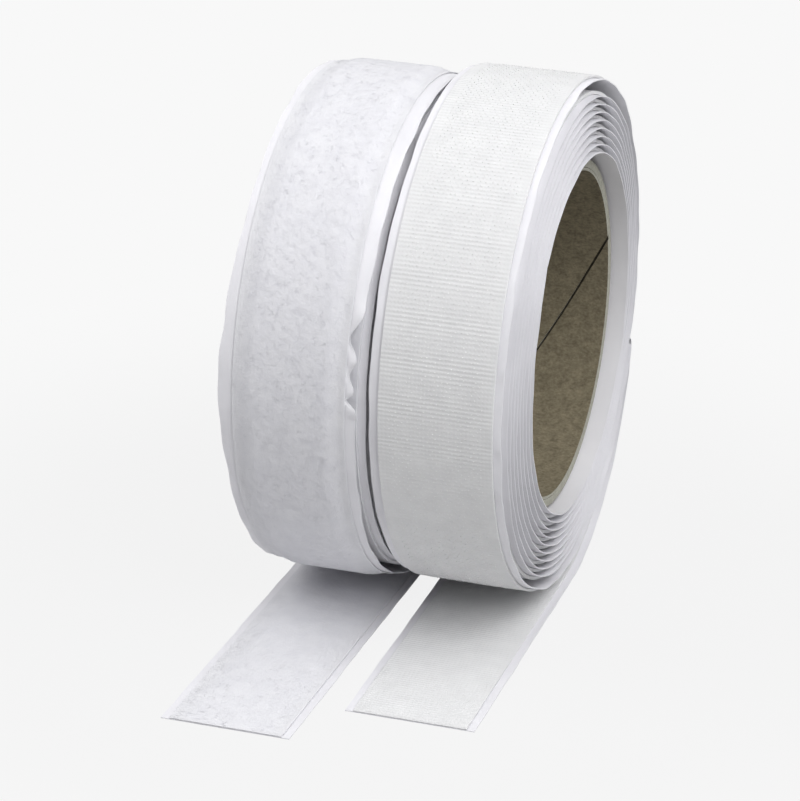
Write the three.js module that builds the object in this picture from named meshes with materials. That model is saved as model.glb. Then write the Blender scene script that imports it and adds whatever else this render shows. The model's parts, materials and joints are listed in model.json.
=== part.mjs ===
// Hook and loop tape on two rolls that stand side by side, each with its free end laid out in front.
//
// Millimetres, +Z up. X runs along the rolls' parallel axes, the free ends reach towards -Y and lie at Z = 0,
// and the origin is on the floor under the middle of the pair.
//
// Each roll is one strip of self-adhesive tape on a wider release liner, wound with the fabric outwards on a
// two-ply cardboard core. The outer turn leaves the roll behind it, folds over and comes forward underneath,
// so that the free end lies with its fabric face up.
import * as THREE from 'three';

// Tape and liner
const tapeWidth = 20;
const tapeThickness = 1.15; // woven base with its adhesive coat and its hooks or loops
const linerMargin = 1.4; // liner that shows past each edge of the tape
const linerThickness = 0.15;
const bondGap = 0.1; // between a tape and the liner it lies on
const layerGap = 0.35; // between a turn's fabric and the liner of the turn outside it

// Core
const coreBore = 58;
const coreSetback = 1.6; // core's end inside the liner's edge
const innerPly = 0.5;
const outerPly = 0.9;
const plyGap = 0.25;
const coreClearance = 0.3;
const coreSteps = 36;
const seamColumns = 8;
const seamSlit = 0.8; // open butt seam of the inner ply, measured round the bore
const seamAngle = 22; // where the seam meets the core's +X end, in degrees from +Y

// Winding, with angles in degrees from +Y towards +Z
const hookTurns = 6.85;
const loopTurns = 6.5;
const hookShift = 0.3; // wound roll out of line with its loose outer turn, towards +X
const loopShift = 1.4;
const hookSpread = 1.2; // innermost turn further out than the outermost
const loopSpread = 0.8;
const windingSteps = 30;
const windingEndAngle = -43;
const spinClearance = 0.3; // between the wound roll and the turn round it
const outerTurnStart = -36;
const climbStart = 238; // the outer turn climbs one layer here, to pass over its own start
const climbEnd = 320;

// Fold behind the roll and the way down to the floor
const foldAngle = -22;
const foldInside = 0.25; // free radius inside the fold
const foldSteps = 8;
const liftAngle = -87; // where the strip leaves the floor
const riseSteps = 14;
const restGap = 0.5; // between the roll and the strip under it
const splitGap = 0.3; // where one strip is divided into two pieces

// Free ends
const peelSetback = 2.4; // peel line behind the roll's front
const hookEndLength = 16.4;
const loopEndLength = 27.8;
const hookTailSlant = 0.5; // degrees that the tail runs off to +X
const loopTailSlant = -0.95;
const rollGap = 2.6; // between the two rolls' liners
const loopForward = 2.35; // loop roll's axis in front of the hook roll's

const radians = THREE.MathUtils.degToRad;
const fullTurn = 2 * Math.PI;

// Offsets from the bond line, the middle of the gap between liner and tape, towards the fabric
const tapeLow = bondGap / 2;
const tapeHigh = tapeLow + tapeThickness;
const linerHigh = -bondGap / 2;
const linerLow = linerHigh - linerThickness;
const pitch = tapeHigh - linerLow + layerGap;
const linerWidth = tapeWidth + 2 * linerMargin;

// A faceted turn comes this much closer to its axis at the middle of a facet than at its corners
const facetShare = Math.cos(Math.PI / windingSteps);

// Radii, from the bore outwards
const boreRadius = coreBore / 2;
const outerPlyInside = boreRadius + innerPly + plyGap;
const coreRadius = outerPlyInside + outerPly;
const firstBondRadius = (coreRadius + coreClearance) / facetShare - linerLow;
const foldRadius = foldInside + tapeHigh;

// The radii that depend on how much is left on a roll
function rollSizes(turns) {
  const windingRows = Math.round(turns * windingSteps);
  const lastBondRadius = firstBondRadius + (pitch * windingRows) / windingSteps;
  const outerBondRadius = (lastBondRadius + tapeHigh + spinClearance) / facetShare - linerLow;
  const outerEndRadius = (outerBondRadius + pitch) / facetShare;
  const peelReach = outerBondRadius + tapeHigh - peelSetback;
  return { windingRows, outerBondRadius, outerEndRadius, peelReach };
}

// A point of a strip's bond line with the direction its fabric faces
function station(y, z, normalY, normalZ) {
  return { y, z, normalY, normalZ, drift: 0 };
}

function polarStation(angle, radius) {
  const across = Math.cos(angle);
  const up = Math.sin(angle);
  return station(radius * across, radius * up, across, up);
}

// The wound roll's spiral, from the core outwards; its turns stand out to one side, the inner ones furthest
function windingStations({ windingRows }, shift, spread) {
  const endAngle = radians(windingEndAngle);
  const stations = [];
  for (let row = 0; row <= windingRows; row += 1) {
    const angle = endAngle + (fullTurn * (row - windingRows)) / windingSteps;
    const here = polarStation(angle, firstBondRadius + (pitch * row) / windingSteps);
    here.drift = shift + spread * (1 - row / windingRows);
    stations.push(here);
  }
  return stations;
}

// The loose outer turn, which starts under its own end and ends where the fold begins
function outerTurnStations({ outerBondRadius, outerEndRadius }) {
  const start = radians(outerTurnStart);
  const end = radians(foldAngle) + fullTurn - splitGap / outerEndRadius;
  const rows = Math.ceil(((end - start) * windingSteps) / fullTurn);
  const stations = [];
  for (let row = 0; row <= rows; row += 1) {
    const angle = start + ((end - start) * row) / rows;
    const climb = THREE.MathUtils.smoothstep(angle, radians(climbStart), radians(climbEnd));
    stations.push(polarStation(angle, THREE.MathUtils.lerp(outerBondRadius, outerEndRadius, climb)));
  }
  return stations;
}

// The fold: half a circle away from the roll, with the fabric on its inside
function foldStations({ outerEndRadius }) {
  const angle = radians(foldAngle);
  const across = Math.cos(angle);
  const up = Math.sin(angle);
  const centreRadius = outerEndRadius + foldRadius;
  const stations = [];
  for (let row = 0; row <= foldSteps; row += 1) {
    const bend = (Math.PI * row) / foldSteps;
    const normalY = Math.cos(bend) * across + Math.sin(bend) * up;
    const normalZ = Math.cos(bend) * up - Math.sin(bend) * across;
    const y = centreRadius * across - foldRadius * normalY;
    const z = centreRadius * up - foldRadius * normalZ;
    stations.push(station(y, z, normalY, normalZ));
  }
  return stations;
}

// The way down behind the roll: a smooth change of radius that ends level with the floor
function riseStations({ outerEndRadius }, floorBond) {
  const top = radians(foldAngle);
  const foot = radians(liftAngle);
  const topRadius = outerEndRadius + 2 * foldRadius;
  const footRadius = floorBond / Math.sin(foot);
  const footSlope = (-floorBond * Math.cos(foot)) / Math.sin(foot) ** 2;
  const sweep = top - foot;
  const stations = [];
  for (let row = 1; row <= riseSteps; row += 1) {
    const share = 1 - row / riseSteps;
    const ease = share * share * (3 - 2 * share);
    const easeSlope = 6 * share * (1 - share);
    const pull = share * (1 - share) ** 2;
    const pullSlope = (1 - share) * (1 - 3 * share);
    const radius = footRadius + (topRadius - footRadius) * ease + footSlope * sweep * pull;
    const slope = ((topRadius - footRadius) * easeSlope) / sweep + footSlope * pullSlope;
    const angle = foot + sweep * share;
    const size = Math.hypot(radius, slope);
    const normalY = -(radius * Math.cos(angle) + slope * Math.sin(angle)) / size;
    const normalZ = -(radius * Math.sin(angle) - slope * Math.cos(angle)) / size;
    stations.push(station(radius * Math.cos(angle), radius * Math.sin(angle), normalY, normalZ));
  }
  return stations;
}

// Move the strip sideways in step with its length, as one that runs off at a slant does
function slanted(stations, slant) {
  const slope = Math.tan(radians(slant));
  let length = 0;
  return stations.map((here, row) => {
    const before = stations[Math.max(row - 1, 0)];
    length += Math.hypot(here.y - before.y, here.z - before.z);
    return { ...here, drift: slope * length };
  });
}

// A wall of even thickness, closed all round; point(row, column, face) gives its lower and upper corners
function closedSheet(rows, columns, point) {
  const positions = [];
  for (let row = 0; row <= rows; row += 1) {
    for (let column = 0; column <= columns; column += 1) {
      positions.push(...point(row, column, 0).toArray(), ...point(row, column, 1).toArray());
    }
  }
  const corner = (row, column, face) => (row * (columns + 1) + column) * 2 + face;
  const triangles = [];
  const addQuad = (a, b, c, d) => triangles.push(a, b, d, b, c, d);
  for (let row = 0; row < rows; row += 1) {
    for (let column = 0; column < columns; column += 1) {
      const ring = [[row, column], [row + 1, column], [row + 1, column + 1], [row, column + 1]];
      const upper = ring.map(([r, c]) => corner(r, c, 1));
      const lower = ring.map(([r, c]) => corner(r, c, 0));
      addQuad(upper[0], upper[1], upper[2], upper[3]);
      addQuad(lower[0], lower[3], lower[2], lower[1]);
    }
    const last = columns;
    addQuad(corner(row, 0, 0), corner(row + 1, 0, 0), corner(row + 1, 0, 1), corner(row, 0, 1));
    addQuad(corner(row, last, 0), corner(row, last, 1), corner(row + 1, last, 1), corner(row + 1, last, 0));
  }
  for (let column = 0; column < columns; column += 1) {
    const next = column + 1;
    addQuad(corner(0, column, 0), corner(0, column, 1), corner(0, next, 1), corner(0, next, 0));
    addQuad(corner(rows, column, 0), corner(rows, next, 0), corner(rows, next, 1), corner(rows, column, 1));
  }
  const geometry = new THREE.BufferGeometry();
  geometry.setAttribute('position', new THREE.Float32BufferAttribute(positions, 3));
  geometry.setIndex(triangles);
  geometry.computeVertexNormals();
  return geometry;
}

function strip(stations, width, low, high) {
  return closedSheet(stations.length - 1, 1, (row, column, face) => {
    const here = stations[row];
    const offset = face === 1 ? high : low;
    const x = here.drift + (column - 0.5) * width;
    return new THREE.Vector3(x, here.y + here.normalY * offset, here.z + here.normalZ * offset);
  });
}

const tapeStrip = (stations) => strip(stations, tapeWidth, tapeLow, tapeHigh);
const linerStrip = (stations) => strip(stations, linerWidth, linerLow, linerHigh);

const coreWidth = linerWidth - 2 * coreSetback;

function outerPlyTube() {
  const profile = [
    new THREE.Vector2(outerPlyInside, -coreWidth / 2),
    new THREE.Vector2(coreRadius, -coreWidth / 2),
    new THREE.Vector2(coreRadius, coreWidth / 2),
    new THREE.Vector2(outerPlyInside, coreWidth / 2),
    new THREE.Vector2(outerPlyInside, -coreWidth / 2),
  ];
  return new THREE.LatheGeometry(profile, 2 * coreSteps).rotateZ(-Math.PI / 2);
}

// The inner ply is wound on a slant, so its butt seam crosses the bore as a helix, one step to a column
function innerPlyTube() {
  const start = radians(seamAngle) + seamSlit / 2 / boreRadius;
  const sweep = fullTurn - seamSlit / boreRadius;
  const columnTwist = fullTurn / coreSteps;
  return closedSheet(coreSteps, seamColumns, (row, column, face) => {
    const angle = start + (sweep * row) / coreSteps + columnTwist * (column - seamColumns);
    const radius = boreRadius + face * innerPly;
    const x = coreWidth * (column / seamColumns - 0.5);
    return new THREE.Vector3(x, radius * Math.cos(angle), radius * Math.sin(angle));
  });
}

// Least distance between faces of one strip whose stations are at least so many steps apart along it
function leastSelfGap(stations, low, high, apart) {
  const faces = stations.map((here) => [low, high].map((offset) => [
    here.y + here.normalY * offset,
    here.z + here.normalZ * offset,
  ]));
  let least = Infinity;
  for (let row = apart; row < faces.length; row += 1) {
    for (let other = 0; other <= row - apart; other += 1) {
      for (const [y, z] of faces[row]) {
        for (const [otherY, otherZ] of faces[other]) {
          least = Math.min(least, Math.hypot(y - otherY, z - otherZ));
        }
      }
    }
  }
  return least;
}

function pathLength(stations) {
  let length = 0;
  for (let row = 1; row < stations.length; row += 1) {
    length += Math.hypot(stations[row].y - stations[row - 1].y, stations[row].z - stations[row - 1].z);
  }
  return length;
}

function report(name, windings, outerTurn, tail) {
  const path = [...outerTurn, ...tail];
  const halfTurn = windingSteps / 2;
  const gaps = [
    leastSelfGap(windings, tapeLow, tapeHigh, halfTurn),
    leastSelfGap(windings, linerLow, linerHigh, halfTurn),
    leastSelfGap(path, tapeLow, tapeHigh, foldSteps),
    leastSelfGap(path, linerLow, linerHigh, foldSteps),
  ];
  const [wound, woundLiner, free, freeLiner] = gaps.map((gap) => gap.toFixed(2));
  const length = pathLength(windings) + pathLength(path);
  console.log(`${name}: wound tape's least gap to itself ${wound} mm, its liner's ${woundLiner} mm`);
  console.log(`${name}: free turn and tail's least gap to itself ${free} mm, its liner's ${freeLiner} mm`);
  console.log(`${name}: strip length ${length.toFixed(0)} mm`);
}

function finish(color, roughness) {
  return new THREE.MeshStandardMaterial({ color, roughness, metalness: 0 });
}

function addPiece(group, name, geometry, material) {
  const mesh = new THREE.Mesh(geometry, material);
  mesh.name = name;
  group.add(mesh);
}

function tapeRoll({ name, tapeColor, turns, shift, spread, endLength, slant, side, forward }) {
  const roll = new THREE.Group();
  const sizes = rollSizes(turns);
  const { peelReach } = sizes;
  const windings = windingStations(sizes, shift, spread);
  const outerTurn = outerTurnStations(sizes);
  // Height of the bond line on the floor, from the roll's axis
  const lowest = Math.min(...outerTurn.map((here) => here.z + here.normalZ * tapeHigh));
  const floorBond = lowest - restGap - tapeHigh;
  const bend = [...foldStations(sizes), ...riseStations(sizes, floorBond)];
  const floorAt = (y) => station(y, floorBond, 0, 1);
  const front = -(peelReach + endLength);
  const peelBack = -(peelReach - splitGap / 2);
  const peelFront = -(peelReach + splitGap / 2);
  const wholeTail = slanted([...bend, floorAt(peelBack), floorAt(peelFront), floorAt(front)], slant);
  const tapeTail = wholeTail.slice(0, -2);
  const tapeEnd = wholeTail.slice(-2);

  addPiece(roll, `${name}_core_outer_ply`, outerPlyTube(), finish('#8d8268', 0.9));
  addPiece(roll, `${name}_core_inner_ply`, innerPlyTube(), finish('#756b53', 0.95));
  addPiece(roll, `${name}_liner_winding`, linerStrip(windings), finish('#f3f2ee', 0.45));
  addPiece(roll, `${name}_tape_winding`, tapeStrip(windings), finish(tapeColor, 0.8));
  addPiece(roll, `${name}_liner_outer_turn`, linerStrip(outerTurn), finish('#f3f2ee', 0.45));
  addPiece(roll, `${name}_tape_outer_turn`, tapeStrip(outerTurn), finish(tapeColor, 0.8));
  addPiece(roll, `${name}_liner_tail`, linerStrip(wholeTail), finish('#f3f2ee', 0.45));
  addPiece(roll, `${name}_tape_tail`, tapeStrip(tapeTail), finish(tapeColor, 0.8));
  addPiece(roll, `${name}_tape_end`, tapeStrip(tapeEnd), finish(tapeColor, 0.8));
  roll.position.set((side * (linerWidth + rollGap)) / 2, -forward, -(floorBond + linerLow));
  report(name, windings, outerTurn, wholeTail);
  return roll;
}

const pair = new THREE.Group();
pair.add(tapeRoll({
  name: 'loop',
  tapeColor: '#e6e5ea',
  turns: loopTurns,
  shift: loopShift,
  spread: loopSpread,
  endLength: loopEndLength,
  slant: loopTailSlant,
  side: -1,
  forward: loopForward,
}));
pair.add(tapeRoll({
  name: 'hook',
  tapeColor: '#e4e5e0',
  turns: hookTurns,
  shift: hookShift,
  spread: hookSpread,
  endLength: hookEndLength,
  slant: hookTailSlant,
  side: 1,
  forward: 0,
}));

// Stand the pair on the floor, with its middle over the origin
const box = new THREE.Box3().setFromObject(pair);
const middle = box.getCenter(new THREE.Vector3());
pair.position.set(-middle.x, -middle.y, -box.min.z);
for (const roll of pair.children) {
  const axis = roll.position.clone().add(pair.position).toArray().map((value) => value.toFixed(3));
  console.log(`${roll.children[0].name}: axis at ${axis.join(', ')} mm`);
}

const assembly = new THREE.Group();
assembly.add(pair);

export default assembly;
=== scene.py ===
# %% [markdown]
# # Hook and loop tape on two rolls
# Two rolls of self-adhesive tape stand side by side: soft loops on the left, stiff hooks on the right. Each
# tape lies on a wider release liner, is wound on a cardboard core and has its free end laid out in front.
# The CAD model gives every place and every joint, so the script starts by loading it as a fixed frame.

# %% Load the frame
import json
import math
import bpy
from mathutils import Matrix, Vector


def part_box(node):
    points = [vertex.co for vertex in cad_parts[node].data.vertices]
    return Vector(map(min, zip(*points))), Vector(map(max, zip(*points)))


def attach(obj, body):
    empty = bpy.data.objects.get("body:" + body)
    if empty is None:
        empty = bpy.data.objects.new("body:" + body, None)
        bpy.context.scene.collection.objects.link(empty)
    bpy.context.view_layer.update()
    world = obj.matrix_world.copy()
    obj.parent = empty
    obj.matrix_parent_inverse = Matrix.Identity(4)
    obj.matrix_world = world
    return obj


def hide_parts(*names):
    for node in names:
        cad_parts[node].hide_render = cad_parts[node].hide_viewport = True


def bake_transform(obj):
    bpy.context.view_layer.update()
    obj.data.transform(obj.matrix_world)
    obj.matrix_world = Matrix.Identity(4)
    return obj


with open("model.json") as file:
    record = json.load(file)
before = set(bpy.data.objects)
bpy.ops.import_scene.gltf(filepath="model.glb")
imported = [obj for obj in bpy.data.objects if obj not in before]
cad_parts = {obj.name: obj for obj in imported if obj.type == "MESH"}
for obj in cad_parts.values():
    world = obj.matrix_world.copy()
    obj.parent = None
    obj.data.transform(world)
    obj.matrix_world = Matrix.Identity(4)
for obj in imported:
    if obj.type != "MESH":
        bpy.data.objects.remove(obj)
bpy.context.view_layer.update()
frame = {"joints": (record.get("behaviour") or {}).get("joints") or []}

from types import SimpleNamespace

import bmesh
import bpy
import numpy as np
from mathutils import Matrix, Vector

scene = bpy.context.scene
joints = {joint["name"]: joint for joint in frame["joints"]}

# %% [markdown]
# ## Camera
# A long lens a little above the rolls and to their right, tipped by about a degree, gives the photograph's
# view. The values come from matching the rims, the bore and the tails' corners in a picture of 800 by 801
# pixels. A camera looks along its own -Z, so its matrix is built from the directions right, up and back.

# %% Camera
IMAGE_LONG_SIDE = 801
FOCAL_PIXELS = 3680.0
SENSOR_WIDTH = 36.0
CAMERA_AZIMUTH = math.radians(17.414)
CAMERA_ELEVATION = math.radians(22.146)
CAMERA_ROLL = math.radians(1.276)
CAMERA_DISTANCE = 0.66394
CAMERA_TARGET = Vector((-0.007411, 0.013373, 0.03187))


def add_camera():
    level = math.cos(CAMERA_ELEVATION)
    cosine, sine = math.cos(CAMERA_AZIMUTH), math.sin(CAMERA_AZIMUTH)
    back = Vector((sine * level, -cosine * level, math.sin(CAMERA_ELEVATION)))
    flat_right = Vector((cosine, sine, 0))
    flat_up = back.cross(flat_right)
    right = math.cos(CAMERA_ROLL) * flat_right + math.sin(CAMERA_ROLL) * flat_up
    up = math.cos(CAMERA_ROLL) * flat_up - math.sin(CAMERA_ROLL) * flat_right
    data = bpy.data.cameras.new("camera")
    data.sensor_width = SENSOR_WIDTH
    data.lens = SENSOR_WIDTH * FOCAL_PIXELS / IMAGE_LONG_SIDE
    camera = bpy.data.objects.new("camera", data)
    turn = Matrix((right, up, back)).transposed().to_4x4()
    camera.matrix_world = Matrix.Translation(CAMERA_TARGET + back * CAMERA_DISTANCE) @ turn
    scene.collection.objects.link(camera)
    scene.camera = camera
    return camera


camera = add_camera()
print("camera: lens", round(camera.data.lens, 1), "mm")

# %% [markdown]
# ## The strip's route
# Tape and liner follow one line, the bond between them. Seen along the rolls' axis it is a spiral from the
# core outwards, a loose outer turn round it, a fold behind the roll, a long way down to the floor and a
# straight run to the cut end. Each stretch is a formula for the bond line's place and for the direction
# that the fabric faces, so that a flat strip can be wrapped along it by its length. Angles are from the
# back (+Y) towards the top (+Z). Radii allow for the CAD model's facets, so that both models lie in the
# same space.

# %% Sizes of the tape, the liner and the core
TAPE_THICKNESS = 0.00115
LINER_THICKNESS = 0.00015
BOND_GAP = 0.0001
LAYER_GAP = 0.00035
CORE_BORE = 0.058
INNER_PLY = 0.0005
OUTER_PLY = 0.0009
PLY_GAP = 0.00025
CORE_CLEARANCE = 0.0003
SPIN_CLEARANCE = 0.0003
FACETS = 30
FACET_SHARE = math.cos(math.pi / FACETS)

tape_low = BOND_GAP / 2
tape_high = tape_low + TAPE_THICKNESS
liner_high = -BOND_GAP / 2
liner_low = liner_high - LINER_THICKNESS
pitch = tape_high - liner_low + LAYER_GAP
core_radius = CORE_BORE / 2 + INNER_PLY + PLY_GAP + OUTER_PLY
first_radius = (core_radius + CORE_CLEARANCE) / FACET_SHARE - liner_low


def width_of(node):
    low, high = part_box(node)
    return high.x - low.x


tape_width = width_of("hook_tape_outer_turn")
liner_width = width_of("hook_liner_outer_turn")
core_width = width_of("hook_core_outer_ply")
print("tape", round(tape_width * 1000, 2), "mm wide, layers", round(pitch * 1000, 2), "mm apart")

# %% Routes round the roll
FULL_TURN = 2 * math.pi
STEPS_A_TURN = 720
WINDING_END = math.radians(-43)
SET_IN = 0.0018
SET_IN_TURNS = 0.16
OUTER_TURN_START = math.radians(-36)
CLIMB_START = math.radians(238)
CLIMB_END = math.radians(320)
FOLD_ANGLE = math.radians(-22)


def smooth(share):
    share = np.clip(share, 0, 1)
    return share * share * (3 - 2 * share)


def route_from(y, z, normal_y, normal_z):
    """A line with its length so far, and its drift along the axis, which starts at nought."""
    length = np.concatenate([[0], np.cumsum(np.hypot(np.diff(y), np.diff(z)))])
    return SimpleNamespace(length=length, y=y, z=z, normal_y=normal_y, normal_z=normal_z, drift=0 * length)


def polar_route(angle, radius):
    return route_from(radius * np.cos(angle), radius * np.sin(angle), np.cos(angle), np.sin(angle))


def winding_route(turns, depth, shift, spread):
    """The wound roll stands out sideways, its inner layers most, and the strip's inner end is set back in."""
    start = WINDING_END - FULL_TURN * turns
    angle = np.linspace(start, WINDING_END, round(STEPS_A_TURN * turns))
    share = (angle - start) / (WINDING_END - start)
    route = polar_route(angle, first_radius + depth * share)
    route.drift = shift + spread * (1 - share) - SET_IN * (1 - smooth(share * turns / SET_IN_TURNS))
    return route


def outer_turn_route(radius, end_radius):
    angle = np.linspace(OUTER_TURN_START, FOLD_ANGLE + FULL_TURN, STEPS_A_TURN)
    climb = smooth((angle - CLIMB_START) / (CLIMB_END - CLIMB_START))
    return polar_route(angle, radius + (end_radius - radius) * climb)


print("routes have", STEPS_A_TURN, "steps a turn")

# %% Route of the tail
FOLD_GAP = 0.00025
FOLD_RADIUS = FOLD_GAP + tape_high
LIFT_ANGLE = math.radians(-87)


def fold_line(end_radius):
    bend = np.linspace(0, math.pi, STEPS_A_TURN // 4)
    across, up = math.cos(FOLD_ANGLE), math.sin(FOLD_ANGLE)
    normal_y = np.cos(bend) * across + np.sin(bend) * up
    normal_z = np.cos(bend) * up - np.sin(bend) * across
    centre = end_radius + FOLD_RADIUS
    return centre * across - FOLD_RADIUS * normal_y, centre * up - FOLD_RADIUS * normal_z, normal_y, normal_z


def rise_line(end_radius, floor):
    share = np.linspace(1, 0, STEPS_A_TURN // 2)
    sweep = FOLD_ANGLE - LIFT_ANGLE
    angle = LIFT_ANGLE + sweep * share
    top_radius = end_radius + 2 * FOLD_RADIUS
    foot_radius = floor / math.sin(LIFT_ANGLE)
    foot_slope = -floor * math.cos(LIFT_ANGLE) / math.sin(LIFT_ANGLE) ** 2
    ease_in = foot_slope * sweep * share * (1 - share) ** 2
    radius = foot_radius + (top_radius - foot_radius) * smooth(share) + ease_in
    y, z = radius * np.cos(angle), radius * np.sin(angle)
    along_y, along_z = np.gradient(y), np.gradient(z)
    size = np.hypot(along_y, along_z)
    return y, z, along_z / size, -along_y / size


def tail_route(end_radius, floor, front, slant):
    fold, rise = fold_line(end_radius), rise_line(end_radius, floor)
    floor_y = np.linspace(rise[0][-1], front, STEPS_A_TURN // 4)
    flat = floor_y, np.full_like(floor_y, floor), np.zeros_like(floor_y), np.ones_like(floor_y)
    stretches = zip(fold, rise, flat)
    route = route_from(*[np.concatenate([back, down[1:], ahead[1:]]) for back, down, ahead in stretches])
    route.drift = math.tan(slant) * route.length
    return route


print("the strip folds over on a radius of", round(FOLD_RADIUS * 1000, 2), "mm")

# %% [markdown]
# ## The two rolls
# Both rolls are built by the same steps, so what differs is kept in one small record for each: how often
# the strip goes round, how far the wound part stands out sideways and how the tail slants. The axis, the
# peel line and the cut end come from the frame's joints and node boxes. The CAD model's winding has few
# turns, to stay light; here the strip goes round a little more often in the same space, as the photograph's
# edges show.

# %% The two rolls
def roll_of(kind, cad_facets, turns, shift, spread, slant):
    axis = Vector(joints[f"{kind}_roll_spin"]["pos_m"])
    peel = Vector(joints[f"{kind}_tape_peel"]["pos_m"])
    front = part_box(f"{kind}_tape_end")[0].y - axis.y
    depth = pitch * (cad_facets / FACETS)
    radius = (first_radius + depth + tape_high + SPIN_CLEARANCE) / FACET_SHARE - liner_low
    end_radius = (radius + pitch) / FACET_SHARE
    floor = -axis.z - liner_low
    return SimpleNamespace(
        kind=kind, axis=axis, peel=peel, radius=radius,
        winding=winding_route(turns, depth, shift, spread),
        outer_turn=outer_turn_route(radius, end_radius),
        tail=tail_route(end_radius, floor, front, slant),
    )


loop_roll = roll_of(
    "loop", cad_facets=195, turns=7.6, shift=0.0014, spread=0.0008, slant=math.radians(-0.55),
)
hook_roll = roll_of(
    "hook", cad_facets=206, turns=8.6, shift=0.0003, spread=0.0012, slant=math.radians(0.65),
)
rolls = [loop_roll, hook_roll]
for roll in rolls:
    lengths = [round(route.length[-1] * 1000, 1) for route in (roll.winding, roll.outer_turn, roll.tail)]
    print(roll.kind, "roll: wound, outer turn and tail", lengths, "mm long")

# %% [markdown]
# ## Flat strips and how they are wrapped
# A strip is modelled flat, as it is woven or cut: X across it, Y along it and Z up from the bond line. A
# grid gives the sheet, solidify gives its thickness, and its flat places are kept as a UV map, so a weave
# follows the strip. Wrapping then moves every point to the place that the route gives for its length, which
# keeps hooks, loops and ribs square to the surface that they stand on.

# %% Helpers for flat strips
FLAT_MAP = "flat"
SHARP_EDGE = math.radians(50)


def points_of(mesh):
    points = np.empty(len(mesh.vertices) * 3)
    mesh.vertices.foreach_get("co", points)
    return points.reshape(-1, 3)


def put_points(mesh, points):
    mesh.vertices.foreach_set("co", np.ascontiguousarray(points, dtype=np.float32).ravel())
    mesh.update()


def flat_sheet(width, start, end, columns, rows, low, high):
    """A flat slab of the strip, with its upper face gridded and its lower face level."""
    bm = bmesh.new()
    bmesh.ops.create_grid(bm, x_segments=columns, y_segments=rows, size=0.5)
    bmesh.ops.scale(bm, vec=(width, end - start, 1), verts=bm.verts)
    bmesh.ops.translate(bm, vec=(0, (start + end) / 2, high), verts=bm.verts)
    bmesh.ops.solidify(bm, geom=bm.faces[:], thickness=high - low)
    bmesh.ops.recalc_face_normals(bm, faces=bm.faces)
    mesh = bpy.data.meshes.new("strip")
    bm.to_mesh(mesh)
    bm.free()
    return mesh


def keep_flat_map(mesh):
    corners = np.empty(len(mesh.loops), dtype=np.int32)
    mesh.loops.foreach_get("vertex_index", corners)
    flat = points_of(mesh)[corners, :2]
    mesh.uv_layers.new(name=FLAT_MAP).uv.foreach_set("vector", flat.astype(np.float32).ravel())


def wrap(mesh, route, roll):
    """Lay a flat strip along a route round a roll's axis."""
    across, along, height = points_of(mesh).T
    y, z, normal_y, normal_z, drift = (
        np.interp(along, route.length, values)
        for values in (route.y, route.z, route.normal_y, route.normal_z, route.drift)
    )
    size = np.hypot(normal_y, normal_z)
    y = y + normal_y / size * height
    z = z + normal_z / size * height
    put_points(mesh, np.stack([across + drift, y, z], axis=1) + np.array(roll.axis))


def piece_from(name, mesh, material, rounded=True):
    mesh.name = name
    mesh.materials.append(material)
    mesh.polygons.foreach_set("use_smooth", [rounded] * len(mesh.polygons))
    mesh.set_sharp_from_angle(angle=SHARP_EDGE)
    piece = bpy.data.objects.new(name, mesh)
    scene.collection.objects.link(piece)
    return piece


print("strips keep their flat places in the UV map", FLAT_MAP)

# %% How strips end and how they move
CUT_REACH = 0.0015
CUT_SHARE = 0.25


def pressed_end(roll, route, along):
    """One along a strip, and less near the tail's cut end, which the scissors pressed thin."""
    if route is not roll.tail:
        return 1.0
    return CUT_SHARE + (1 - CUT_SHARE) * smooth((route.length[-1] - along) / CUT_REACH)


def ride_free_end(piece, roll, route):
    """The outer turn rides on the free end; the tail keeps its place and rides on no body."""
    if route is roll.tail:
        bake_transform(piece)
    else:
        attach(piece, f"{roll.kind}_free_end")


# %% [markdown]
# ## Shared surface effects
# Two effects serve several finishes. Woven yarn needs fine threads along and across the strip, read from
# its flat map. Paper, in the liner and in the cardboard, needs cloudy patches and short fibres, read from
# the place on the object. Each is one node group with named sockets, and each material sets its own scale.

# %% Node helpers
def add_node(tree, kind, **values):
    node = tree.nodes.new(kind)
    for name, value in values.items():
        setattr(node, name, value)
    return node


def set_inputs(node, **values):
    for name, value in values.items():
        node.inputs[name.replace("_", " ")].default_value = value
    return node


def join(tree, source, node, socket):
    tree.links.new(source, node.inputs[socket])


def new_group(name, inputs, outputs):
    group = bpy.data.node_groups.new(name, "ShaderNodeTree")
    for socket, value in inputs.items():
        entry = group.interface.new_socket(socket, in_out="INPUT", socket_type="NodeSocketFloat")
        entry.default_value = value
    for socket in outputs:
        group.interface.new_socket(socket, in_out="OUTPUT", socket_type="NodeSocketFloat")
    return group, group.nodes.new("NodeGroupInput"), group.nodes.new("NodeGroupOutput")


def scaled_noise(tree, vector, scale, detail=3.0):
    noise = add_node(tree, "ShaderNodeTexNoise")
    set_inputs(noise, Detail=detail, Roughness=0.55)
    join(tree, vector, noise, "Vector")
    join(tree, scale, noise, "Scale")
    return noise.outputs["Fac"]


def calculate(tree, operation, first, second):
    node = add_node(tree, "ShaderNodeMath", operation=operation)
    for socket, value in enumerate((first, second)):
        if isinstance(value, (int, float)):
            node.inputs[socket].default_value = value
        else:
            join(tree, value, node, socket)
    return node.outputs[0]


# %% Yarn and paper groups
WAVE_SCALE = 0.16


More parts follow.
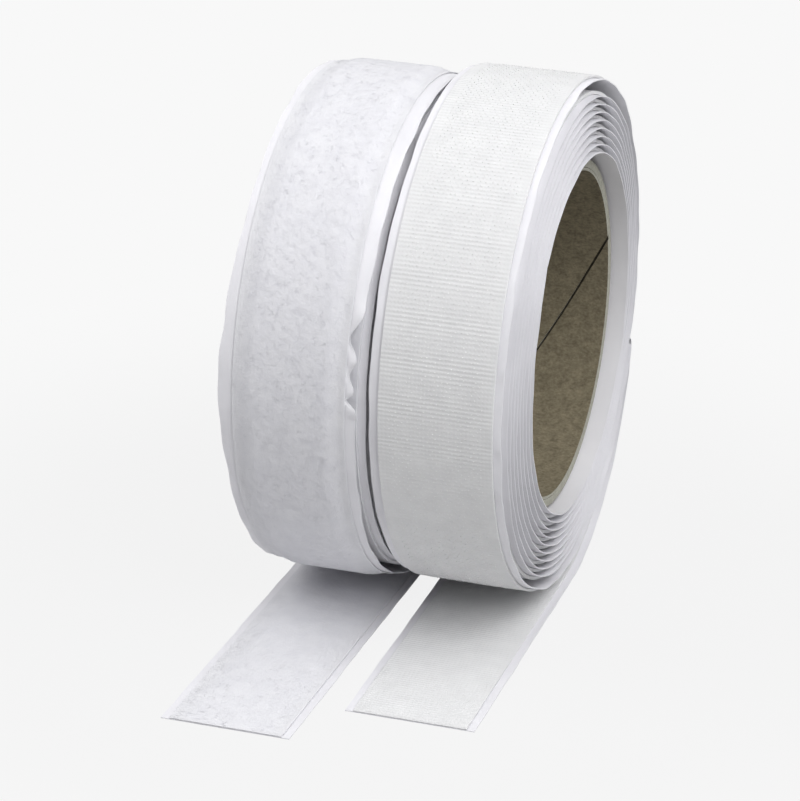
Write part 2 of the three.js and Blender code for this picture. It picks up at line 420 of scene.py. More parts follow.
def yarn_group():
    """Threads along and across a strip, with a slow drift in how tight they lie."""
    group, entry, out = new_group("yarn", {"Threads": 2600.0, "Clouds": 260.0}, ["Woven", "Fuzzy", "Clouds"])
    flat = add_node(group, "ShaderNodeUVMap", uv_map=FLAT_MAP).outputs["UV"]
    along = add_node(group, "ShaderNodeTexWave", wave_type="BANDS", bands_direction="X")
    across = add_node(group, "ShaderNodeTexWave", wave_type="BANDS", bands_direction="Y")
    for wave in (along, across):
        set_inputs(wave, Distortion=1.4, Detail=1.0)
        join(group, flat, wave, "Vector")
        join(group, calculate(group, "MULTIPLY", entry.outputs["Threads"], WAVE_SCALE), wave, "Scale")
    threads = calculate(group, "MAXIMUM", along.outputs["Fac"], across.outputs["Fac"])
    grain = scaled_noise(group, flat, entry.outputs["Threads"])
    join(group, calculate(group, "ADD", threads, grain), out, "Woven")
    join(group, grain, out, "Fuzzy")
    join(group, scaled_noise(group, flat, entry.outputs["Clouds"], detail=4.0), out, "Clouds")
    return group


def paper_group():
    """Cloudy patches and short fibres, as paper shows against the light."""
    group, entry, out = new_group("paper", {"Clouds": 120.0, "Fibres": 1500.0}, ["Clouds", "Fibres"])
    place = add_node(group, "ShaderNodeTexCoord").outputs["Object"]
    join(group, scaled_noise(group, place, entry.outputs["Clouds"], detail=5.0), out, "Clouds")
    stretch = set_inputs(add_node(group, "ShaderNodeMapping"), Scale=(0.7, 1.0, 1.0))
    join(group, place, stretch, "Vector")
    fibres = scaled_noise(group, stretch.outputs["Vector"], entry.outputs["Fibres"], detail=2.0)
    join(group, fibres, out, "Fibres")
    return group


yarn, paper = yarn_group(), paper_group()
print("node groups:", yarn.name, paper.name)


# %% Material helpers
def new_material(name, **values):
    material = bpy.data.materials.new(name)
    material.use_nodes = True
    shader = material.node_tree.nodes["Principled BSDF"]
    set_inputs(shader, **values)
    return material.node_tree, shader, material


def place_group(tree, group, **values):
    return set_inputs(add_node(tree, "ShaderNodeGroup", node_tree=group), **values)


def mix_colours(tree, share, first, second, low=0.3, high=0.7):
    ramp = add_node(tree, "ShaderNodeValToRGB")
    ramp.color_ramp.elements[0].position = low
    ramp.color_ramp.elements[0].color = (*first, 1)
    ramp.color_ramp.elements[1].position = high
    ramp.color_ramp.elements[1].color = (*second, 1)
    join(tree, share, ramp, "Fac")
    return ramp.outputs["Color"]


def add_bump(tree, shader, height, distance, strength=1.0):
    bump = set_inputs(add_node(tree, "ShaderNodeBump"), Strength=strength, Distance=distance)
    join(tree, height, bump, "Height")
    join(tree, bump.outputs["Normal"], shader, "Normal")


# %% [markdown]
# ## Finishes
# Both fabrics are white nylon, but not the same white: the loop side is cool and dull, the hook side a
# trace warmer. The loops and the stiff bristles are painted a little lighter than the weave under them, a
# painted highlight on their lit tops. The liner is a smooth coated paper with a satin gloss. Light goes a
# little way into all of these. The core is grey-brown board, paler where it was cut; the outer ply's face
# towards the bore is painted dark, as painted shade in the seam's slit.

# %% Fabric finishes
LOOP_SHADOW, LOOP_LIGHT = (0.755, 0.755, 0.79), (0.81, 0.81, 0.84)
# The loops' colours are a little lighter than the knit's, a painted highlight on their tops.
LIT_PILE_SHADOW, LIT_PILE_LIGHT = (0.795, 0.795, 0.83), (0.83, 0.83, 0.86)
HOOK_SHADOW, HOOK_LIGHT = (0.755, 0.757, 0.762), (0.805, 0.807, 0.81)
# The bristles' colours are lighter than the weave's, a painted highlight on their tops.
LIT_BRISTLE_SHADOW, LIT_BRISTLE_LIGHT = (0.85, 0.852, 0.852), (0.89, 0.892, 0.89)
GLOW_DEPTH = 0.0004


def let_light_in(shader, weight):
    set_inputs(shader, Subsurface_Weight=weight, Subsurface_Radius=(1, 1, 1), Subsurface_Scale=GLOW_DEPTH)


def fabric(name, shadow, light, surface, threads, relief, roughness, glow):
    """White nylon, whose glow softens the shade between hooks and loops."""
    tree, shader, material = new_material(name, Roughness=roughness, Sheen_Weight=0.1, Specular_IOR_Level=0.3)
    let_light_in(shader, glow)
    weave = place_group(tree, yarn, Threads=threads)
    join(tree, mix_colours(tree, weave.outputs["Clouds"], shadow, light), shader, "Base Color")
    add_bump(tree, shader, weave.outputs[surface], relief)
    return material


loop_weave = fabric(
    "loop_weave", LOOP_SHADOW, LOOP_LIGHT, "Fuzzy", threads=1500.0, relief=0.00006, roughness=0.85, glow=0.4,
)
# Painted lighter than the knit: a painted highlight on the loops.
loop_pile_painted_lit = fabric(
    "loop_pile_painted_lit", LIT_PILE_SHADOW, LIT_PILE_LIGHT, "Fuzzy", threads=2400.0, relief=0.00001, roughness=0.8, glow=0.4,
)
hook_weave = fabric(
    "hook_weave", HOOK_SHADOW, HOOK_LIGHT, "Woven", threads=2800.0, relief=0.00002, roughness=0.7, glow=0.4,
)
# Painted lighter than the hook weave: a painted highlight on the bristles.
hook_bristle_painted_lit = fabric(
    "hook_bristle_painted_lit", LIT_BRISTLE_SHADOW, LIT_BRISTLE_LIGHT, "Fuzzy", threads=2800.0, relief=0.00001, roughness=0.5,
    glow=0.9,
)
fabrics = [loop_weave, loop_pile_painted_lit, hook_weave, hook_bristle_painted_lit]
print("fabric finishes:", [finish.name for finish in fabrics])

# %% Paper finishes
LINER_SHADOW, LINER_LIGHT = (0.80, 0.795, 0.83), (0.86, 0.855, 0.89)
LINER_GLOW = 0.15
BOARD_SHADOW, BOARD_LIGHT = (0.130, 0.112, 0.074), (0.250, 0.216, 0.146)
# Painted shade for the outer ply's face towards the bore, seen through the seam's slit.
SLIT_SHADE_DARK, SLIT_SHADE_PALE = (0.030, 0.026, 0.018), (0.060, 0.052, 0.036)
CUT_SHADOW, CUT_LIGHT = (0.34, 0.335, 0.28), (0.47, 0.465, 0.40)


def satin_paper(name, shadow, light, smoothest, roughest, relief):
    tree, shader, material = new_material(name, Specular_IOR_Level=0.35)
    let_light_in(shader, LINER_GLOW)
    grain = place_group(tree, paper, Clouds=90.0, Fibres=900.0)
    join(tree, mix_colours(tree, grain.outputs["Clouds"], shadow, light), shader, "Base Color")
    gloss = add_node(tree, "ShaderNodeMapRange")
    set_inputs(gloss, To_Min=smoothest, To_Max=roughest)
    join(tree, grain.outputs["Clouds"], gloss, "Value")
    join(tree, gloss.outputs["Result"], shader, "Roughness")
    add_bump(tree, shader, grain.outputs["Fibres"], relief, strength=0.6)
    return material


def board(name, shadow, light, relief):
    tree, shader, material = new_material(name, Roughness=0.92, Specular_IOR_Level=0.2)
    grain = place_group(tree, paper, Clouds=700.0, Fibres=2600.0)
    speckle = calculate(tree, "ADD", grain.outputs["Clouds"], grain.outputs["Fibres"])
    speckle = calculate(tree, "MULTIPLY", speckle, 0.5)
    join(tree, mix_colours(tree, speckle, shadow, light, low=0.36, high=0.66), shader, "Base Color")
    add_bump(tree, shader, grain.outputs["Fibres"], relief)
    return material


liner_paper = satin_paper(
    "liner_paper", LINER_SHADOW, LINER_LIGHT, smoothest=0.42, roughest=0.57, relief=0.00001,
)
core_board = board("core_board", BOARD_SHADOW, BOARD_LIGHT, relief=0.00005)
core_painted_shade = board("core_painted_shade", SLIT_SHADE_DARK, SLIT_SHADE_PALE, relief=0.00005)
core_cut_edge = board("core_cut_edge", CUT_SHADOW, CUT_LIGHT, relief=0.00008)
papers = [liner_paper, core_board, core_painted_shade, core_cut_edge]
print("paper finishes:", [finish.name for finish in papers])

# %% [markdown]
# ## Hook tape
# The hook side is a ribbed weave with rows of cut bristles. The ribs cross the whole tape; the bristles
# stand in staggered rows and leave a plain selvedge on each side. A bump map would lose the ribs at the
# silhouette, so they are real: the grid has four rows to a rib and a cosine lifts its upper face. The tail
# was pressed flat, so its weave is thinner and its bristles lower.

# %% Hook tape's ribbed base
RIB_PERIOD = 0.000775
RIB_HEIGHT = 0.00006
ROWS_A_RIB = 4
HOOK_BASE = 0.00042
HOOK_BASE_PRESSED = 0.00022
HOOK_COLUMNS = 10


def hook_height(roll, route):
    """How high the ribbed base stands above the bond."""
    return tape_low + (HOOK_BASE_PRESSED if route is roll.tail else HOOK_BASE)


def ribbed_base(name, roll, route):
    length, height = route.length[-1], hook_height(roll, route)
    rows = round(length / RIB_PERIOD * ROWS_A_RIB)
    mesh = flat_sheet(tape_width, 0, length, HOOK_COLUMNS, rows, tape_low, height)
    points = points_of(mesh)
    upper = points[:, 2] > (tape_low + height) / 2
    along = points[upper, 1]
    ribs = height - tape_low + RIB_HEIGHT / 2 * np.cos(FULL_TURN * along / RIB_PERIOD)
    points[upper, 2] = tape_low + ribs * pressed_end(roll, route, along)
    put_points(mesh, points)
    keep_flat_map(mesh)
    wrap(mesh, route, roll)
    return piece_from(name, mesh, hook_weave)


print("ribs", round(RIB_PERIOD * 1000, 3), "mm apart")

# %% [markdown]
# One bristle is a thin wire that rises from the weave and bends over. A ring of three corners is extruded
# for the stem and spun for the crook, which leaves a closed shape of fourteen faces. Thousands of copies
# are then set out in staggered rows by moving their points all together, each a little out of line, as
# bristles are.

# %% One bristle
WIRE = 0.00017
WIRE_SIDES = 3
STEM = 0.00004
CROOK_RADIUS = 0.0001
CROOK_ANGLE = math.radians(125)
CROOK_STEPS = 3


def bristle_shape():
    bm = bmesh.new()
    bmesh.ops.create_circle(bm, cap_ends=True, segments=WIRE_SIDES, radius=WIRE / 2)
    stem = bmesh.ops.extrude_face_region(bm, geom=bm.faces[:])["geom"]
    corners = [part for part in stem if isinstance(part, bmesh.types.BMVert)]
    top = [part for part in stem if isinstance(part, bmesh.types.BMFace)]
    bmesh.ops.translate(bm, vec=(0, 0, STEM), verts=corners)
    centre = (CROOK_RADIUS, 0, STEM)
    bmesh.ops.spin(bm, geom=top, cent=centre, axis=(0, 1, 0), angle=CROOK_ANGLE, steps=CROOK_STEPS)
    bmesh.ops.delete(bm, geom=top, context="FACES_ONLY")
    bmesh.ops.recalc_face_normals(bm, faces=bm.faces)
    shape = bpy.data.meshes.new("bristle")
    bm.to_mesh(shape)
    bm.free()
    return shape


bristle = bristle_shape()
print("one bristle has", len(bristle.polygons), "faces")

# %% Hook tape's bristles
HOOK_SPACING = 0.0011
HOOK_STAGGER = 0.25
HOOK_SCATTER = 0.00005
HOOK_TURN_SCATTER = 0.35
HOOK_HEIGHTS = (0.85, 1.1)
BRISTLE_PRESSED = 0.5
SELVEDGE = 0.0014


def copies_of(shape, count):
    """One mesh with many copies of a shape, and their points as copies, corners and directions."""
    bm = bmesh.new()
    for copy in range(count):
        bm.from_mesh(shape)
    mesh = bpy.data.meshes.new("copies")
    bm.to_mesh(mesh)
    bm.free()
    return mesh, points_of(mesh).reshape(count, len(shape.vertices), 3)


def turned(points, angle):
    """Turn each copy about its own upright line."""
    cosine, sine = np.cos(angle)[:, None], np.sin(angle)[:, None]
    x = points[:, :, 0] * cosine - points[:, :, 1] * sine
    y = points[:, :, 0] * sine + points[:, :, 1] * cosine
    return np.stack([x, y, points[:, :, 2]], axis=2)


def bristles(name, roll, route, seed):
    length = route.length[-1]
    draw = np.random.default_rng(seed)
    field = tape_width - 2 * SELVEDGE
    per_row = int(field / HOOK_SPACING)
    rows = int(length / RIB_PERIOD) - 2
    pressed = BRISTLE_PRESSED if route is roll.tail else 1.0
    mesh, points = copies_of(bristle, per_row * rows)
    row, column = np.divmod(np.arange(per_row * rows), per_row)
    stagger = np.where(row % 2 == 0, HOOK_STAGGER, -HOOK_STAGGER)
    x = (column - (per_row - 1) / 2 + stagger) * HOOK_SPACING + draw.normal(0, HOOK_SCATTER, row.size)
    y = (row + 1) * RIB_PERIOD + draw.normal(0, HOOK_SCATTER, row.size)
    facing = np.where(column % 2 == 0, 0.0, math.pi) + draw.normal(0, HOOK_TURN_SCATTER, row.size)
    points = turned(points, facing)
    points[:, :, 2] *= pressed * draw.uniform(*HOOK_HEIGHTS, row.size)[:, None]
    foot = np.full(row.size, hook_height(roll, route) - WIRE / 2)
    points += np.stack([x, y, foot], axis=1)[:, None, :]
    put_points(mesh, points)
    keep_flat_map(mesh)
    wrap(mesh, route, roll)
    return piece_from(name, mesh, hook_bristle_painted_lit, rounded=False)


# %% Hook roll's fabric
NAP_SEED = 3


def dress_fabric(roll, base_of, nap_of, nap_word):
    """The fabric that shows: the loose outer turn and the tail, each with its hooks or loops."""
    kind = roll.kind
    for step, (part, route) in enumerate([("outer_turn", roll.outer_turn), ("tail", roll.tail)]):
        base = base_of(f"{kind}_tape_{part}_weave", roll, route)
        nap = nap_of(f"{kind}_tape_{part}_{nap_word}", roll, route, NAP_SEED + step)
        nodes = [f"{kind}_tape_tail", f"{kind}_tape_end"] if part == "tail" else [f"{kind}_tape_{part}"]
        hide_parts(*nodes)
        for piece in (base, nap):
            ride_free_end(piece, roll, route)
        print(base.name, len(base.data.polygons), "faces,", nap.name, len(nap.data.polygons), "faces")


dress_fabric(hook_roll, ribbed_base, bristles, "hooks")

# %% [markdown]
# ## Loop tape
# The loop side is a knitted band with a nap of fine loops that lie every way. Its body is soft and a little
# uneven, and falls away to a thin selvedge on each side, so a formula lifts the grid's upper face. Single
# arches of thin yarn, scattered by a seeded draw and leaning over, give the fuzz that the hooks catch in.
# On the tail, which was pressed flat, the body is thinner and the arches are lower.

# %% Loop tape's base
LOOP_GROUND = 0.00014
LOOP_BODY = 0.00082
LOOP_PRESSED = 0.0004
LOOP_COLUMNS = 50
LOOP_ROW = 0.00042
LOOP_SELVEDGE = 0.0006
SELVEDGE_SLOPE = 0.0034
UNEVEN = 0.000028
UNEVEN_WAVES = 40
UNEVEN_STEPS = (0.0009, 0.0028)
UNEVEN_SEED = 11


def loop_height(roll, route, across, along):
    """How high the knit stands above the bond, from the selvedge to the body."""
    body = LOOP_PRESSED if route is roll.tail else LOOP_BODY
    inside = (tape_width / 2 - LOOP_SELVEDGE - np.abs(across)) / SELVEDGE_SLOPE
    thick = LOOP_GROUND + (body - LOOP_GROUND) * smooth(inside)
    return tape_low + thick * pressed_end(roll, route, along)


def uneven(across, along):
    """A sum of seeded waves that run every way, for the knit's soft hollows."""
    draw = np.random.default_rng(UNEVEN_SEED)
    total = 0 * across
    for wave in range(UNEVEN_WAVES):
        direction = draw.uniform(0, FULL_TURN)
        step = draw.uniform(*UNEVEN_STEPS)
        run = across * math.cos(direction) + along * math.sin(direction)
        total += np.sin(FULL_TURN * run / step + draw.uniform(0, FULL_TURN))
    return total * UNEVEN / math.sqrt(UNEVEN_WAVES)


def knit_base(name, roll, route):
    length = route.length[-1]
    rows = round(length / LOOP_ROW)
    mesh = flat_sheet(tape_width, 0, length, LOOP_COLUMNS, rows, tape_low, tape_low + LOOP_GROUND)
    points = points_of(mesh)
    upper = points[:, 2] > tape_low + LOOP_GROUND / 2
    across, along = points[upper, 0], points[upper, 1]
    thick = loop_height(roll, route, across, along) - tape_low
    points[upper, 2] = tape_low + thick + uneven(across, along) * (thick / LOOP_BODY) ** 2
    put_points(mesh, points)
    keep_flat_map(mesh)
    wrap(mesh, route, roll)
    return piece_from(name, mesh, loop_weave)


print("the knit is", round(LOOP_BODY * 1000, 2), "mm thick, on the tail", round(LOOP_PRESSED * 1000, 2), "mm")

# %% One loop
YARN = 0.00005
YARN_SIDES = 3
ARCH_WIDTH = 0.0009
ARCH_STEPS = 3


def arch_shape():
    """A small arch of yarn with both feet on the knit."""
    bm = bmesh.new()
    ring = bmesh.ops.create_circle(bm, cap_ends=True, segments=YARN_SIDES, radius=YARN / 2)
    bmesh.ops.translate(bm, vec=(-ARCH_WIDTH / 2, 0, 0), verts=ring["verts"])
    bmesh.ops.spin(bm, geom=bm.faces[:], cent=(0, 0, 0), axis=(0, 1, 0), angle=math.pi, steps=ARCH_STEPS)
    bmesh.ops.recalc_face_normals(bm, faces=bm.faces)
    shape = bpy.data.meshes.new("arch")
    bm.to_mesh(shape)
    bm.free()
    return shape


arch = arch_shape()
print("one loop has", len(arch.polygons), "faces")

# %% Loop tape's nap
ARCH_SIZES = (0.7, 1.3)
ARCH_HEIGHTS = (0.06, 0.17)
ARCH_HEIGHTS_PRESSED = (0.03, 0.09)
LEAN_SIDEWAYS = 0.5
LEAN_ALONG = 0.9
LOOPS_A_SQUARE = 1.7e6


def loop_nap(name, roll, route, seed):
    length = route.length[-1]
    draw = np.random.default_rng(seed)
    field = tape_width - 2 * LOOP_SELVEDGE
    count = int(field * (length - ARCH_WIDTH) * LOOPS_A_SQUARE)
    mesh, points = copies_of(arch, count)
    points *= draw.uniform(*ARCH_SIZES, count)[:, None, None]
    points[:, :, 0] += points[:, :, 2] * draw.normal(0, LEAN_SIDEWAYS, count)[:, None]
    points[:, :, 1] += points[:, :, 2] * draw.normal(0, LEAN_ALONG, count)[:, None]
    heights = ARCH_HEIGHTS_PRESSED if route is roll.tail else ARCH_HEIGHTS
    points[:, :, 2] *= draw.uniform(*heights, count)[:, None]
    points = turned(points, draw.uniform(0, FULL_TURN, count))
    x = draw.uniform(-field / 2, field / 2, count)
    y = draw.uniform(ARCH_WIDTH / 2, length - ARCH_WIDTH / 2, count)
    points += np.stack([x, y, loop_height(roll, route, x, y) - YARN / 2], axis=1)[:, None, :]
    points[:, :, 1] = np.clip(points[:, :, 1], 0, length)
    put_points(mesh, points)
    keep_flat_map(mesh)
    wrap(mesh, route, roll)
    return piece_from(name, mesh, loop_pile_painted_lit, rounded=False)


dress_fabric(loop_roll, knit_base, loop_nap, "loops")

# %% [markdown]
# ## Wound tape
# Inside the roll only the tape's edges show, set back between the edges of the liner. So the wound tape is
# the same strip without its nap, fine enough along its length to look round.

# %% Wound tape
WOUND_ROW = 0.002
WOUND_COLUMNS = 4
WOUND_THICKNESS = 0.0006


def wound_tape(roll, material):
    kind, length = roll.kind, roll.winding.length[-1]
    rows = round(length / WOUND_ROW)
    mesh = flat_sheet(tape_width, 0, length, WOUND_COLUMNS, rows, tape_low, tape_low + WOUND_THICKNESS)
    keep_flat_map(mesh)
    wrap(mesh, roll.winding, roll)
    piece = piece_from(f"{kind}_tape_wound", mesh, material)
    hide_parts(f"{kind}_tape_winding")
    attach(piece, f"{kind}_wound_roll")
    print(piece.name, len(mesh.polygons), "faces,", round(length, 3), "m")


wound_tape(loop_roll, loop_weave)
wound_tape(hook_roll, hook_weave)

# %% [markdown]
# ## Release liner
# The liner is thin, smooth and wider than the tape. Where it stands free past the tape's edge it is never
# quite flat: it ripples, here and there it has been knocked in or curls up, and at the fold it is drawn in.
# A sum of a few seeded sine waves moves the margin's points before the strip is wrapped, and so does each
# knock or tuck, which is a soft bump in the margin. The grid's columns are gathered in the margins, where
# the bending is.

# %% Liner margins
LINER_COLUMNS = 20
MARGIN_COLUMNS = 6
RIPPLE_STEPS = (0.009, 0.0145, 0.023, 0.041)


def gather_columns(across):
    """Move evenly spaced columns so that most of them stand in the two margins."""
    even = liner_width * (0.5 - MARGIN_COLUMNS / LINER_COLUMNS)
    places = [-liner_width / 2, -even, even, liner_width / 2]
    gathered = [-liner_width / 2, -tape_width / 2, tape_width / 2, liner_width / 2]
    return np.interp(across, places, gathered)


def margin_share(across):
    """Nought under the tape, one at the liner's edge."""
    free = (liner_width - tape_width) / 2
    return np.clip((np.abs(across) - tape_width / 2) / free, 0, 1)


def ripple(along, draw):
    waves = (np.sin(FULL_TURN * along / step + draw.uniform(0, FULL_TURN)) for step in RIPPLE_STEPS)
    return sum(waves) / 2


def bend_margin(points, place, side, reach, out, up):
    """Move one margin outwards and up, most at a place along the strip and less within a reach of it."""
    near = np.exp(-((points[:, 1] - place) / reach) ** 2)
    share = margin_share(points[:, 0]) * near * (points[:, 0] * side > 0)
    points[:, 0] += side * out * share
    points[:, 2] += up * share


print("the liner stands", round((liner_width - tape_width) / 2 * 1000, 2), "mm past each edge of the tape")

# %% Liner strips
ROW_LENGTH = {"winding": 0.0013, "outer_turn": 0.0006, "tail": 0.0006}
RIPPLE_UP = {"winding": 0.00004, "outer_turn": 0.00008, "tail": 0.0}
RIPPLE_SIDEWAYS = {"winding": 0.00006, "outer_turn": 0.0001, "tail": 0.00005}
LINER_SEED = {"loop": 21, "hook": 31}

# Each knock in the outer turn's margin: side, degrees round the roll, reach along it, how far out and up.
KNOCKS = {
    "loop": [
        (1, 140, 0.050, 0.0006, 0.0), (1, 112, 0.030, 0.0004, -0.0010), (1, 158.5, 0.0020, 0.0003, 0.0006),
        (1, 163.5, 0.0026, -0.0018, 0.0), (1, 168.5, 0.0010, 0.0002, 0.0005),
        (1, 171.5, 0.0020, -0.0014, 0.0), (1, 175.3, 0.0008, 0.0, 0.0004),
        (1, 177.3, 0.0009, -0.0016, -0.0002), (1, 179.6, 0.0010, 0.0003, 0.0006),
        (-1, 174, 0.016, 0.0013, 0.0),
    ],
    "hook": [
        (1, 168, 0.0016, 0.0, 0.0004), (1, 185.5, 0.0014, 0.0001, 0.0004), (1, 197.5, 0.0014, 0.0, 0.0004),
        (1, 150, 0.0030, -0.0002, 0.0001), (-1, 165, 0.040, 0.0004, 0.0),
    ],
}

# Each tuck in the tail's margin: side, reach from the fold, how far out and up.
TUCKS = {
    "loop": [(-1, 0.008, -0.0006, 0.0004)],
    "hook": [(1, 0.030, -0.0006, 0.0003), (1, 0.006, -0.0006, 0.0003)],
}


def liner_strip(name, roll, part, route, seed):
    length = route.length[-1]
    rows = round(length / ROW_LENGTH[part])
    mesh = flat_sheet(liner_width, 0, length, LINER_COLUMNS, rows, liner_low, liner_high)
    points = points_of(mesh)
    points[:, 0] = gather_columns(points[:, 0])
    put_points(mesh, points)
    keep_flat_map(mesh)
    draw = np.random.default_rng(seed)
    for side in (-1, 1):
        here = points[:, 0] * side > 0
        share = margin_share(points[here, 0])
        along = points[here, 1]
        points[here, 2] += RIPPLE_UP[part] * share * ripple(along, draw)
        points[here, 0] += side * RIPPLE_SIDEWAYS[part] * share * ripple(along, draw)
    if part == "outer_turn":
        for side, angle, reach, out, up in KNOCKS[roll.kind]:
            place = (math.radians(angle) - OUTER_TURN_START) * roll.radius
            bend_margin(points, place, side, reach, out, up)
    if part == "tail":
        for side, reach, out, up in TUCKS[roll.kind]:
            bend_margin(points, 0, side, reach, out, up)
    put_points(mesh, points)
    wrap(mesh, route, roll)
    return piece_from(name, mesh, liner_paper)


def dress_liner(roll):
    kind = roll.kind
    strips = [
        ("winding", roll.winding, f"{kind}_wound_roll", "stretched"),
        ("outer_turn", roll.outer_turn, f"{kind}_free_end", "stretched"),
        ("tail", roll.tail, f"{kind}_free_end", "laid"),
    ]
    for step, (part, route, body, held) in enumerate(strips):
        piece = liner_strip(f"{kind}_liner_{part}_paper", roll, part, route, LINER_SEED[kind] + step)
        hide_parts(f"{kind}_liner_{part}")
        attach(piece, body)
        print(piece.name, len(piece.data.polygons), "faces,", round(route.length[-1] * 1000, 1), "mm")


for roll in rolls:
    dress_liner(roll)

# %% [markdown]
# ## Cardboard core
# The tube has two plies. The outer one is a plain ring, so its section is spun round the axis; it fills the
# space from the inner ply to the first turn of liner. The inner one is a strip wound on a slant, and its
# butt seam runs across the bore as a dark line: a flat sheet is sheared by the seam's twist and then rolled
# up, with a narrow slit left open. The slit shows the outer ply's face towards the bore, painted dark as
# painted shade. The ends were sawn, so they get a paler finish.

# %% Finishes on the core's faces
FACING = 0.7


def cut_ends(piece):
    """Give the faces that look along the axis the finish of sawn board."""
    piece.data.materials.append(core_cut_edge)
    for face in piece.data.polygons:
        if abs(face.normal.x) > FACING:
            face.material_index = 1


def paint_bore_shade(piece, roll):
    """Paint the faces that look at the axis dark: painted shade, seen through the seam's slit."""
    piece.data.materials.append(core_painted_shade)
    for face in piece.data.polygons:
        inwards = roll.axis - face.center
        if face.normal.dot(inwards) > FACING * inwards.length:
            face.material_index = 2


def seat_core(piece, roll, node):
    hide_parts(node)
    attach(piece, f"{roll.kind}_wound_roll")
    print(piece.name, len(piece.data.polygons), "faces")


# %% Core plies
CORE_STEPS = 180
CORE_COLUMNS = 24
CORE_BEVEL = 0.00012
CORE_FIT = 0.00004
SAME_PLACE = 1e-6
SEAM_SLIT = 0.0009
SEAM_ANGLE = math.radians(17.3)
SEAM_TWIST = math.radians(75.4)


def outer_ply(roll):
    inside = CORE_BORE / 2 + INNER_PLY + CORE_FIT
    outside = first_radius + liner_low - CORE_FIT
    bm = bmesh.new()
    bmesh.ops.create_grid(bm, x_segments=1, y_segments=1, size=0.5)
    bmesh.ops.scale(bm, vec=(core_width, outside - inside, 1), verts=bm.verts)
    bmesh.ops.translate(bm, vec=(0, (inside + outside) / 2, 0), verts=bm.verts)
    bmesh.ops.bevel(
        bm, geom=bm.verts[:], offset=CORE_BEVEL, affect="VERTICES", segments=2, profile=0.5, material=-1,
    )
    bmesh.ops.delete(bm, geom=bm.faces[:], context="FACES_ONLY")
    bmesh.ops.spin(
        bm, geom=bm.edges[:], cent=(0, 0, 0), axis=(1, 0, 0), angle=FULL_TURN, steps=CORE_STEPS,
        use_merge=True,
    )
    bmesh.ops.remove_doubles(bm, verts=bm.verts, dist=SAME_PLACE)
    bmesh.ops.recalc_face_normals(bm, faces=bm.faces)
    bmesh.ops.translate(bm, vec=roll.axis, verts=bm.verts)
    mesh = bpy.data.meshes.new("ply")
    bm.to_mesh(mesh)
    bm.free()
    piece = piece_from(f"{roll.kind}_core_outer_board", mesh, core_board)
    cut_ends(piece)
    # The face towards the bore is painted dark, as painted shade in the seam's slit.
    paint_bore_shade(piece, roll)
    seat_core(piece, roll, f"{roll.kind}_core_outer_ply")


def inner_ply(roll):
    bore = CORE_BORE / 2
    sweep = FULL_TURN - SEAM_SLIT / bore
    mesh = flat_sheet(core_width, 0, sweep, CORE_COLUMNS, CORE_STEPS, bore, bore + INNER_PLY)
    across, turn, radius = points_of(mesh).T
    angle = SEAM_ANGLE + SEAM_SLIT / CORE_BORE + turn + SEAM_TWIST * (across / core_width - 0.5)
    points = np.stack([across, radius * np.cos(angle), radius * np.sin(angle)], axis=1)
    put_points(mesh, points + np.array(roll.axis))
    piece = piece_from(f"{roll.kind}_core_inner_board", mesh, core_board)
    cut_ends(piece)
    seat_core(piece, roll, f"{roll.kind}_core_inner_ply")


for roll in rolls:
    outer_ply(roll)
    inner_ply(roll)

# %% [markdown]
# ## Floor and light
# Four wide soft lamps stand round the rolls: the strongest in front on the right, a weaker one on the left,
# one high on the right and a faint one overhead. They give the photograph's bright top and grey lower
# front. The floor is a plain pale sheet. Near the rolls it takes their shadow; further out it fades to the
# even background, which is seen directly or in gloss but puts no more light on matte surfaces.

# %% Floor
BACKGROUND = 0.939
BACKGROUND_COLOUR = (BACKGROUND, BACKGROUND, BACKGROUND, 1)
FLOOR_COLOUR = (0.52, 0.52, 0.52, 1)
FLOOR_SIZE = 4.0
SHADOW_NEAR = 0.07
SHADOW_FAR = 0.16
EVEN_NEAR = 0.92


def seen_directly(tree):
    """One for rays that show the backdrop itself: from the camera, or by way of gloss or glass."""
    path = add_node(tree, "ShaderNodeLightPath")
    gloss = calculate(tree, "MAXIMUM", path.outputs["Is Glossy Ray"], path.outputs["Is Transmission Ray"])
    return calculate(tree, "MAXIMUM", path.outputs["Is Camera Ray"], gloss)


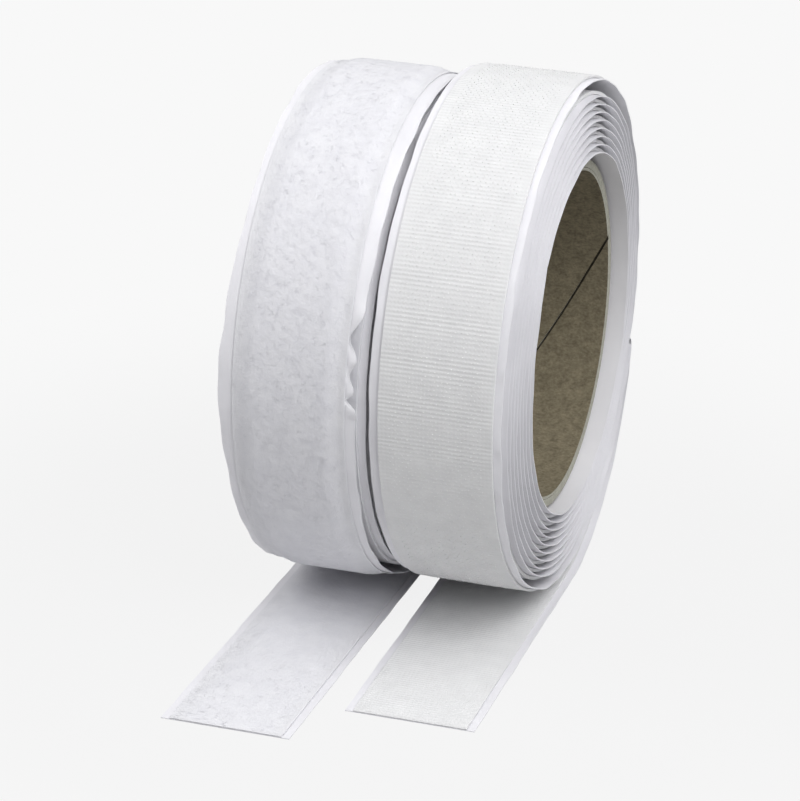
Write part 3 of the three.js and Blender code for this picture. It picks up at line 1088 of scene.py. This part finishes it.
def floor_material():
    tree, shader, material = new_material("floor_paper", Base_Color=FLOOR_COLOUR, Roughness=0.9)
    place = add_node(tree, "ShaderNodeTexCoord").outputs["Object"]
    distance = add_node(tree, "ShaderNodeVectorMath", operation="LENGTH")
    join(tree, place, distance, 0)
    fade = set_inputs(add_node(tree, "ShaderNodeMapRange", interpolation_type="SMOOTHSTEP"),
                      From_Min=SHADOW_NEAR, From_Max=SHADOW_FAR, To_Min=EVEN_NEAR)
    join(tree, distance.outputs["Value"], fade, "Value")
    share = calculate(tree, "MULTIPLY", fade.outputs["Result"], seen_directly(tree))
    glow = set_inputs(add_node(tree, "ShaderNodeEmission"), Color=BACKGROUND_COLOUR)
    mix = add_node(tree, "ShaderNodeMixShader")
    join(tree, share, mix, "Fac")
    tree.links.new(shader.outputs["BSDF"], mix.inputs[1])
    tree.links.new(glow.outputs["Emission"], mix.inputs[2])
    join(tree, mix.outputs["Shader"], tree.nodes["Material Output"], "Surface")
    return material


def add_floor():
    bm = bmesh.new()
    bmesh.ops.create_grid(bm, x_segments=1, y_segments=1, size=FLOOR_SIZE / 2)
    mesh = bpy.data.meshes.new("floor")
    bm.to_mesh(mesh)
    bm.free()
    floor = piece_from("floor", mesh, floor_material())


add_floor()
print("floor", FLOOR_SIZE, "m wide")

# %% Backdrop
AMBIENT = 0.2
AMBIENT_COLOUR = (0.97, 0.97, 1.0, 1)


def set_world():
    world = bpy.data.worlds.new("studio")
    world.use_nodes = True
    scene.world = world
    tree = world.node_tree
    ambient = tree.nodes["Background"]
    set_inputs(ambient, Color=AMBIENT_COLOUR, Strength=AMBIENT)
    backdrop = set_inputs(add_node(tree, "ShaderNodeBackground"), Color=BACKGROUND_COLOUR)
    mix = add_node(tree, "ShaderNodeMixShader")
    join(tree, seen_directly(tree), mix, "Fac")
    tree.links.new(ambient.outputs["Background"], mix.inputs[1])
    tree.links.new(backdrop.outputs["Background"], mix.inputs[2])
    join(tree, mix.outputs["Shader"], tree.nodes["World Output"], "Surface")


set_world()
print("backdrop", BACKGROUND, "as seen,", AMBIENT, "as light")

# %% Lamps
LAMPS_AIM = Vector((0, 0, 0.05))


def add_lamp(name, place, size, power):
    data = bpy.data.lights.new(name, "AREA")
    data.shape = "DISK"
    data.size = size
    data.energy = power
    lamp = bpy.data.objects.new(name, data)
    lamp.location = place
    lamp.rotation_euler = (LAMPS_AIM - Vector(place)).to_track_quat("-Z", "Y").to_euler()
    scene.collection.objects.link(lamp)


add_lamp("key_softbox", (0.50, -0.43, 0.66), size=0.6, power=4.3)
add_lamp("left_softbox", (-0.5, -0.2, 0.75), size=0.7, power=2.9)
add_lamp("right_softbox", (0.45, 0.0, 0.8), size=0.7, power=2.2)
add_lamp("top_softbox", (0.0, 0.1, 0.9), size=0.8, power=0.6)
scene.view_settings.view_transform = "Standard"
